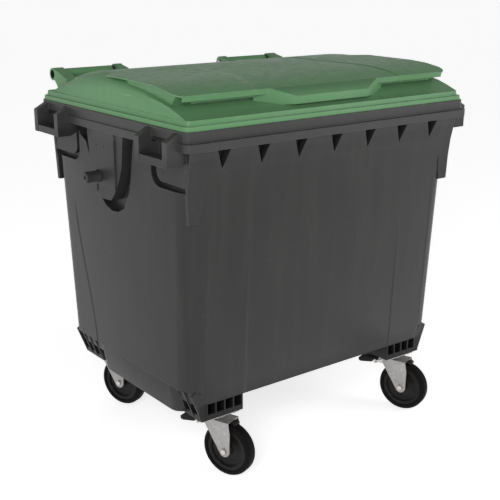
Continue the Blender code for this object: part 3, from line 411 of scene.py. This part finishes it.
# %% Material: galvanised steel
galvanised, tree, shader = start_material("galvanised steel", metallic=0.85, specular=0.5)
place = add(tree, "ShaderNodeTexCoord").outputs["Object"]
crystal = add(tree, "ShaderNodeTexVoronoi", {"feature": "F1"}, {"Vector": place, "Scale": 130.0})
patch = add(tree, "ShaderNodeSeparateXYZ", inputs={0: crystal.outputs["Color"]}).outputs["X"]
surface = use_group(tree, grain_group, Grain_Scale=1200.0, Cloud_Scale=24.0)
edges = use_group(tree, edge_group, Radius=0.0008, Amount=0.8)
dirt = use_group(tree, dirt_group, Dust_Top=0.26, Scuff_Scale=1.6)
zinc = blend_color(tree, patch, (0.33, 0.32, 0.32), (0.45, 0.44, 0.44))
cloudy = blend_color(tree, calc(tree, "MULTIPLY", surface["Clouds"], 0.5), zinc, (0.28, 0.26, 0.255))
grimy = blend_color(tree, calc(tree, "MULTIPLY", dirt["Dust"], 0.28), cloudy, (0.14, 0.12, 0.105))
bright = blend_color(tree, calc(tree, "MULTIPLY", edges["Edge"], 0.5), grimy, (0.80, 0.79, 0.77))
tree.links.new(bright, shader.inputs["Base Color"])
sheen = calc(tree, "MULTIPLY_ADD", patch, 0.12, 0.34)
sheen = calc(tree, "MULTIPLY_ADD", dirt["Dust"], 0.20, sheen)
tree.links.new(sheen, shader.inputs["Roughness"])
tree.links.new(calc(tree, "MULTIPLY_ADD", dirt["Dust"], -0.35, 0.85), shader.inputs["Metallic"])
frozen = bump(tree, crystal.outputs["Distance"], 0.0006, edges["Normal"], 0.25)
tree.links.new(bump(tree, surface["Grain"], 0.0002, frozen, 0.35), shader.inputs["Normal"])
print("material", galvanised.name, len(tree.nodes), "nodes")

# %% [markdown]
# Bolts, axles and pins are plated with a thin bright zinc. They differ from the galvanised
# sheet: no crystals, a faint yellow, and brown rust where water stands in the corners.

# %% Material: plated fasteners
plated, tree, shader = start_material("plated fastener", metallic=0.95)
surface = use_group(tree, grain_group, Grain_Scale=1500.0, Cloud_Scale=60.0)
edges = use_group(tree, edge_group, Radius=0.0006, Amount=1.0)
tone = blend_color(tree, surface["Clouds"], (0.50, 0.48, 0.43), (0.66, 0.64, 0.60))
rust = between(tree, surface["Clouds"], 0.58, 0.74)
aged = blend_color(tree, calc(tree, "MULTIPLY", rust, 0.55), tone, (0.16, 0.085, 0.045))
bright = blend_color(tree, calc(tree, "MULTIPLY", edges["Edge"], 0.5), aged, (0.82, 0.80, 0.76))
tree.links.new(bright, shader.inputs["Base Color"])
tree.links.new(calc(tree, "MULTIPLY_ADD", rust, -0.6, 0.95), shader.inputs["Metallic"])
tree.links.new(calc(tree, "MULTIPLY_ADD", rust, 0.35, 0.28), shader.inputs["Roughness"])
tree.links.new(bump(tree, surface["Grain"], 0.0002, edges["Normal"], 0.4), shader.inputs["Normal"])
print("material", plated.name, len(tree.nodes), "nodes")

# %% [markdown]
# The tyres are black rubber. The tread is scrubbed to a dull grey with grit pressed into it,
# and the sides keep a little shine. Distance from the axle would say which is which, but each
# wheel has its own axle, so the rubber uses dust and grain that suit both.

# %% Material: tyre rubber
rubber, tree, shader = start_material("tyre rubber", specular=0.05)
surface = use_group(tree, grain_group, Grain_Scale=480.0, Cloud_Scale=16.0)
edges = use_group(tree, edge_group, Radius=0.0015, Amount=1.0)
dirt = use_group(tree, dirt_group, Dust_Top=0.24, Scuff_Scale=2.0)
black = blend_color(tree, surface["Clouds"], (0.0035, 0.0035, 0.0035), (0.007, 0.007, 0.007))
gritty = blend_color(tree, calc(tree, "MULTIPLY", dirt["Dust"], 0.14), black, (0.040, 0.038, 0.034))
scrubbed = blend_color(tree, calc(tree, "MULTIPLY", dirt["Scuffs"], 0.35), gritty, (0.060, 0.058, 0.056))
pale_edges = blend_color(tree, calc(tree, "MULTIPLY", edges["Edge"], 0.30), scrubbed, (0.050, 0.049, 0.048))
tree.links.new(pale_edges, shader.inputs["Base Color"])
sheen = calc(tree, "MULTIPLY_ADD", surface["Clouds"], 0.20, 0.46)
sheen = calc(tree, "MULTIPLY_ADD", dirt["Dust"], 0.25, sheen, clamp=True)
tree.links.new(sheen, shader.inputs["Roughness"])
tree.links.new(bump(tree, surface["Grain"], 0.0006, edges["Normal"], 0.6), shader.inputs["Normal"])
print("material", rubber.name, len(tree.nodes), "nodes")

# %% [markdown]
# Wheel centres, brake pedals and the drain plug are black moulded nylon: a finer grain than
# the tub, a little gloss, and dust in the hollows.

# %% Materials: black and dark grey nylon
def nylon(name, dark, light, gloss):
    material, tree, shader = start_material(name, specular=0.14)
    surface = use_group(tree, grain_group, Grain_Scale=1100.0, Cloud_Scale=20.0)
    edges = use_group(tree, edge_group, Radius=0.0012, Amount=0.9)
    dirt = use_group(tree, dirt_group, Dust_Top=0.26, Scuff_Scale=1.8)
    base = blend_color(tree, surface["Clouds"], dark, light)
    dusty = blend_color(tree, calc(tree, "MULTIPLY", dirt["Dust"], 0.25), base, (0.060, 0.056, 0.050))
    pale_edges = blend_color(tree, calc(tree, "MULTIPLY", edges["Edge"], 0.45), dusty, (0.085, 0.083, 0.080))
    tree.links.new(pale_edges, shader.inputs["Base Color"])
    sheen = calc(tree, "MULTIPLY_ADD", surface["Clouds"], 0.18, gloss)
    tree.links.new(calc(tree, "MULTIPLY_ADD", dirt["Dust"], 0.2, sheen), shader.inputs["Roughness"])
    tree.links.new(bump(tree, surface["Grain"], 0.0003, edges["Normal"], 0.5), shader.inputs["Normal"])
    print("material", name, len(tree.nodes), "nodes")
    return material


black_nylon = nylon("black nylon", (0.005, 0.005, 0.005), (0.011, 0.011, 0.011), 0.34)
hub_nylon = nylon("dark wheel nylon", (0.006, 0.006, 0.0065), (0.013, 0.013, 0.0135), 0.36)

# %% [markdown]
# A CAD node is a set of loose flat triangles. A finished casting is made from a copy of it:
# the corners are merged, flat neighbours are joined, true edges get a small radius where
# there is room, and the shading is smoothed up to a chosen angle. The copy then stands for
# the node and rides on the same body.

# %% Turn a CAD node into a finished casting
def settle(piece, node_names, material):
    """Gives the piece its material and body, and hides the nodes that it stands for."""
    piece.data.materials.clear()
    piece.data.materials.append(material)
    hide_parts(*node_names)
    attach(piece, home[node_names[0]])


def merged_copy(name, node_name):
    source = nodes[node_name]
    piece = bpy.data.objects.new(name, source.data.copy())
    bpy.context.scene.collection.objects.link(piece)
    wake(piece)
    bpy.ops.mesh.customdata_custom_splitnormals_clear()
    bpy.ops.object.mode_set(mode="EDIT")
    bpy.ops.mesh.select_all(action="SELECT")
    bpy.ops.mesh.remove_doubles(threshold=0.00001)
    bpy.ops.mesh.dissolve_limited(angle_limit=math.radians(0.6))
    bpy.ops.object.mode_set(mode="OBJECT")
    return piece


def round_edges(piece, radius, segments, angle):
    """Rounds every edge that is sharper than the angle."""
    step = piece.modifiers.new("rounded edges", "BEVEL")
    step.width = radius
    step.segments = segments
    step.limit_method = "ANGLE"
    step.angle_limit = math.radians(angle)
    step.use_clamp_overlap = True
    wake(piece)
    bpy.ops.object.modifier_apply(modifier=step.name)


def casting(name, node_name, material, radius=0.0, segments=2, smooth=40):
    piece = merged_copy(name, node_name)
    if radius > 0:
        round_edges(piece, radius, segments, 32)
    wake(piece)
    bpy.ops.object.shade_smooth_by_angle(angle=math.radians(smooth))
    settle(piece, [node_name], material)
    return piece


# %% [markdown]
# The tub and the lid are the two large mouldings. They are full of long thin faces that a true
# radius would fold over, so their edges are rounded by the Bevel node of their materials only,
# which gives each one the thin bright line that real moulded edges have; a part of that line
# is a painted highlight in their colour.

# %% Cast the tub and the lid
tub = casting("tub_moulding", "tub_shell", tub_plastic)
lid = casting("lid_moulding", "lid_shell", lid_plastic)
for piece in (tub, lid):
    print(piece.name, len(piece.data.polygons), "faces")

# %% [markdown]
# The lifting pins are part of the same grey, and the two round bars between the hinge lugs
# are green like the lid. The hinge pins inside them are steel.

# %% Cast the pins and the grips
for side in ("l", "r"):
    casting("lifting_pin_" + side, "trunnion_" + side, tub_plastic, 0.0008, 2, 50)
    casting("hinge_bar_" + side, "lid_grip_" + side, lid_plastic, 0.0008, 2, 50)
    casting("hinge_rod_" + side, "hinge_pin_" + side, galvanised, 0.0006, 2, 50)
casting("drain_cap", "drain_plug", black_nylon, 0.0010, 2, 50)
print("pins, bars and cap done")

# %% [markdown]
# Each caster has a pressed steel plate and fork. Pressed sheet has rounded folds, so these
# get a radius of about half the sheet's thickness. The small fasteners keep their CAD shape
# and only take the plated finish.

# %% Cast the steel of the casters
CORNERS = ("fl", "fr", "rl", "rr")
for tag in CORNERS:
    casting("top_plate_" + tag, "caster_plate_" + tag, galvanised, 0.0008, 2, 40)
    casting("fork_pressing_" + tag, "fork_" + tag, galvanised, 0.0012, 2, 40)
    fasteners = ["king_pin_" + tag, "axle_" + tag, "axle_nut_" + tag]
    fasteners += [f"bolt_{tag}_{count}" for count in range(4)]
    for node_name in fasteners:
        casting("plated_" + node_name, node_name, plated, 0.0005, 1, 35)
for tag in CORNERS[:2]:
    casting("pedal_" + tag, "brake_pedal_" + tag, black_nylon, 0.0020, 3, 40)
    casting("shoe_" + tag, "brake_shoe_" + tag, black_nylon, 0.0010, 2, 40)
    casting("plated_brake_pin_" + tag, "brake_pin_" + tag, plated, 0.0004, 1, 35)
print("caster steel done")

# %% [markdown]
# The CAD wheel has 24 flats, which is enough for contact but would show as corners. The
# finished wheel starts as a cylinder with many sides, and its faces are inset and extruded
# into the rim, the dished web and the hub, as if it were cut on a lathe. It is built once
# about its own axle and then copied to each caster.

# %% Helpers for turned shapes
def drum(name, radius, width, sides=96):
    """A cylinder about the X axis, in edit mode with nothing selected."""
    bpy.ops.object.select_all(action="DESELECT")
    lying = (0, math.radians(90), 0)
    bpy.ops.mesh.primitive_cylinder_add(vertices=sides, radius=radius, depth=width, rotation=lying)
    made = bpy.context.object
    made.name = name
    bpy.ops.object.transform_apply(location=True, rotation=True, scale=True)
    bpy.ops.object.mode_set(mode="EDIT")
    bpy.ops.mesh.select_mode(type="FACE")
    bpy.ops.mesh.select_all(action="DESELECT")
    return made


def pick_ends(obj):
    """Selects the largest flat face at each end, which is the one that is worked next."""
    bpy.ops.object.mode_set(mode="OBJECT")
    for polygon in obj.data.polygons:
        polygon.select = len(polygon.vertices) > 60
    bpy.ops.object.mode_set(mode="EDIT")


def step_in(obj, inwards, outwards=0.0):
    """Insets both end faces, then pushes them out, or in if the distance is negative."""
    pick_ends(obj)
    bpy.ops.mesh.inset(thickness=inwards, depth=0.0)
    if outwards:
        bpy.ops.mesh.extrude_region_shrink_fatten(TRANSFORM_OT_shrink_fatten={"value": outwards})


def bore(obj):
    """Joins the two end faces by a hole right through."""
    pick_ends(obj)
    bpy.ops.mesh.bridge_edge_loops()
    bpy.ops.object.mode_set(mode="OBJECT")


# %% [markdown]
# The tyre: the drum's outer corners are rounded first, so far that the wheel stays inside the
# CAD wheel's outline from every side. Then each side is stepped in twice to leave the narrow
# raised ring that a moulded tyre has, and the middle is bored out.

# %% Model one tyre
axle_height = joints["roll_fl"]["pos_m"][2]
TYRE_WIDTH = 0.048
tyre = drum("tyre_pattern", axle_height, TYRE_WIDTH)
bpy.ops.object.mode_set(mode="OBJECT")
round_edges(tyre, 0.0136, 6, 60)
wake(tyre)
bpy.ops.object.mode_set(mode="EDIT")
step_in(tyre, 0.0022, -0.0008)
step_in(tyre, 0.0010, 0.0008)
step_in(tyre, 0.0016)
bore(tyre)
print("tyre", len(tyre.data.polygons), "faces")

# %% [markdown]
# The wheel centre: a rim band that carries the tyre, a thin dished web and a long hub. The
# steps follow the same order as the turned shape has from the outside in.

# %% Model one wheel centre
CORE_RADIUS = 0.0802
core = drum("core_pattern", CORE_RADIUS, 0.040)
step_in(core, 0.0020, 0.0)
step_in(core, 0.0090, -0.0015)
step_in(core, 0.0035, -0.0110)
step_in(core, 0.0200, -0.0015)
step_in(core, 0.0190, 0.0020)
step_in(core, 0.0040, 0.0200)
step_in(core, 0.0020, 0.0010)
step_in(core, 0.0142)
bore(core)
round_edges(core, 0.0008, 2, 32)
print("wheel centre", len(core.data.polygons), "faces")

# %% [markdown]
# Each wheel stands on its own axle. The turn of the fork is in the axle's direction, which
# the roll joint gives, and the axle's place is the joint's place.

# %% Copy the wheel to each caster
def stand_at(pattern, name, joint):
    """A copy of a pattern with its place written into its mesh."""
    copy = bpy.data.objects.new(name, pattern.data.copy())
    bpy.context.scene.collection.objects.link(copy)
    turn = math.atan2(joint["axis"][1], joint["axis"][0])
    copy.data.transform(Matrix.Translation(joint["pos_m"]) @ Matrix.Rotation(turn, 4, "Z"))
    wake(copy)
    bpy.ops.object.shade_smooth_by_angle(angle=math.radians(35))
    return copy


for tag in CORNERS:
    joint = joints["roll_" + tag]
    settle(stand_at(tyre, "rubber_tyre_" + tag, joint), ["tyre_" + tag], rubber)
    settle(stand_at(core, "wheel_centre_" + tag, joint), ["wheel_core_" + tag], hub_nylon)
for pattern in (tyre, core):
    bpy.data.objects.remove(pattern, do_unlink=True)
print("four wheels on", [round(joints["roll_" + tag]["pos_m"][2], 4) for tag in CORNERS])

# %% [markdown]
# The two front forks carry a small plated link on each side of the pedal, with a rivet at its
# upper end. The CAD leaves them out, because they don't touch anything. Each is a flat bar
# whose edges are rounded, and each rivet is a short cylinder with a rounded rim. They ride
# with the fork.

# %% Model the brake links and rivets
def swung(obj, tag):
    """Moves a piece made about the king pin to its own caster, in its mesh."""
    pivot = joints["swivel_" + tag]["pos_m"]
    axle = joints["roll_" + tag]["axis"]
    turn = Matrix.Rotation(math.atan2(axle[1], axle[0]), 4, "Z")
    obj.data.transform(Matrix.Translation((pivot[0], pivot[1], 0)) @ turn)


def link_bar(name, side):
    bpy.ops.object.select_all(action="DESELECT")
    place = (side * 0.0276, 0.047, 0.1895)
    bpy.ops.mesh.primitive_cube_add(size=1.0, location=place, rotation=(math.radians(-24), 0, 0))
    bar = bpy.context.object
    bar.name = name
    bar.scale = (0.0020, 0.044, 0.0110)
    bpy.ops.object.transform_apply(location=True, rotation=True, scale=True)
    bpy.ops.object.mode_set(mode="EDIT")
    bpy.ops.mesh.select_all(action="SELECT")
    bpy.ops.mesh.bevel(offset=0.0008, segments=2, affect="EDGES")
    bpy.ops.object.mode_set(mode="OBJECT")
    return bar


def rivet(name, side, place_y, place_z):
    bpy.ops.object.select_all(action="DESELECT")
    place = (side * 0.0300, place_y, place_z)
    lying = (0, math.radians(90), 0)
    bpy.ops.mesh.primitive_cylinder_add(
        vertices=24, radius=0.0052, depth=0.0050, location=place, rotation=lying
    )
    head = bpy.context.object
    head.name = name
    bpy.ops.object.transform_apply(location=True, rotation=True, scale=True)
    bpy.ops.object.mode_set(mode="EDIT")
    bpy.ops.mesh.select_all(action="SELECT")
    bpy.ops.mesh.bevel(offset=0.0014, segments=3, affect="EDGES")
    bpy.ops.object.mode_set(mode="OBJECT")
    return head


for tag in CORNERS[:2]:
    for side in (-1, 1):
        end = "l" if side < 0 else "r"
        made = [link_bar(f"brake_link_{tag}_{end}", side)]
        made.append(rivet(f"brake_rivet_{tag}_{end}", side, 0.062, 0.1830))
        for piece in made:
            swung(piece, tag)
            wake(piece)
            bpy.ops.object.shade_smooth_by_angle(angle=math.radians(40))
            piece.data.materials.append(plated)
            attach(piece, "swivel_" + tag)
print("brake links on", CORNERS[:2])

# %% [markdown]
# A plain pale floor and soft light. The floor is one sheet, so wide that its edge is never
# seen, and it glows a little, like paper on a light table. The world is bright at the horizon
# and dim overhead, so upright faces are lit more than level ones, as they are in a white room
# with a dark ceiling. One big lamp in front on the left and a weaker one on the right shape it.

# %% Floor and studio light
bpy.ops.object.select_all(action="DESELECT")
bpy.ops.mesh.primitive_plane_add(size=300.0, location=(0, 0, -0.0005))
floor = bpy.context.object
floor.name = "studio_floor"
paper, tree, shader = start_material("pale studio paper", specular=0.1)
shader.inputs["Base Color"].default_value = (0.86, 0.86, 0.86, 1.0)
shader.inputs["Roughness"].default_value = 0.9
shader.inputs["Emission Color"].default_value = (1.0, 1.0, 1.0, 1.0)
shader.inputs["Emission Strength"].default_value = 0.66
floor.data.materials.append(paper)
world = bpy.data.worlds.new("studio air")
bpy.context.scene.world = world
world.use_nodes = True
sky = world.node_tree
aim = add(sky, "ShaderNodeTexCoord").outputs["Generated"]
lift = add(sky, "ShaderNodeSeparateXYZ", inputs={0: aim}).outputs["Z"]
sky.links.new(between(sky, lift, 0.02, 0.70, 0.90, 0.22), sky.nodes["Background"].inputs["Strength"])
sky.nodes["Background"].inputs["Color"].default_value = (1.0, 1.0, 1.0, 1.0)


def lamp(name, place, look_at, size, power):
    data = bpy.data.lights.new(name, "AREA")
    data.shape = "DISK"
    data.size = size
    data.energy = power
    made = bpy.data.objects.new(name, data)
    bpy.context.scene.collection.objects.link(made)
    made.location = place
    made.rotation_euler = (Vector(look_at) - Vector(place)).to_track_quat("-Z", "Y").to_euler()


lamp("key", (-3.4, -3.2, 2.6), (0, 0, 0.8), 2.0, 88)
lamp("fill", (3.2, -3.6, 2.2), (0, 0, 0.7), 2.6, 52)
bpy.context.scene.view_settings.view_transform = "Standard"
print("floor and lamps set")
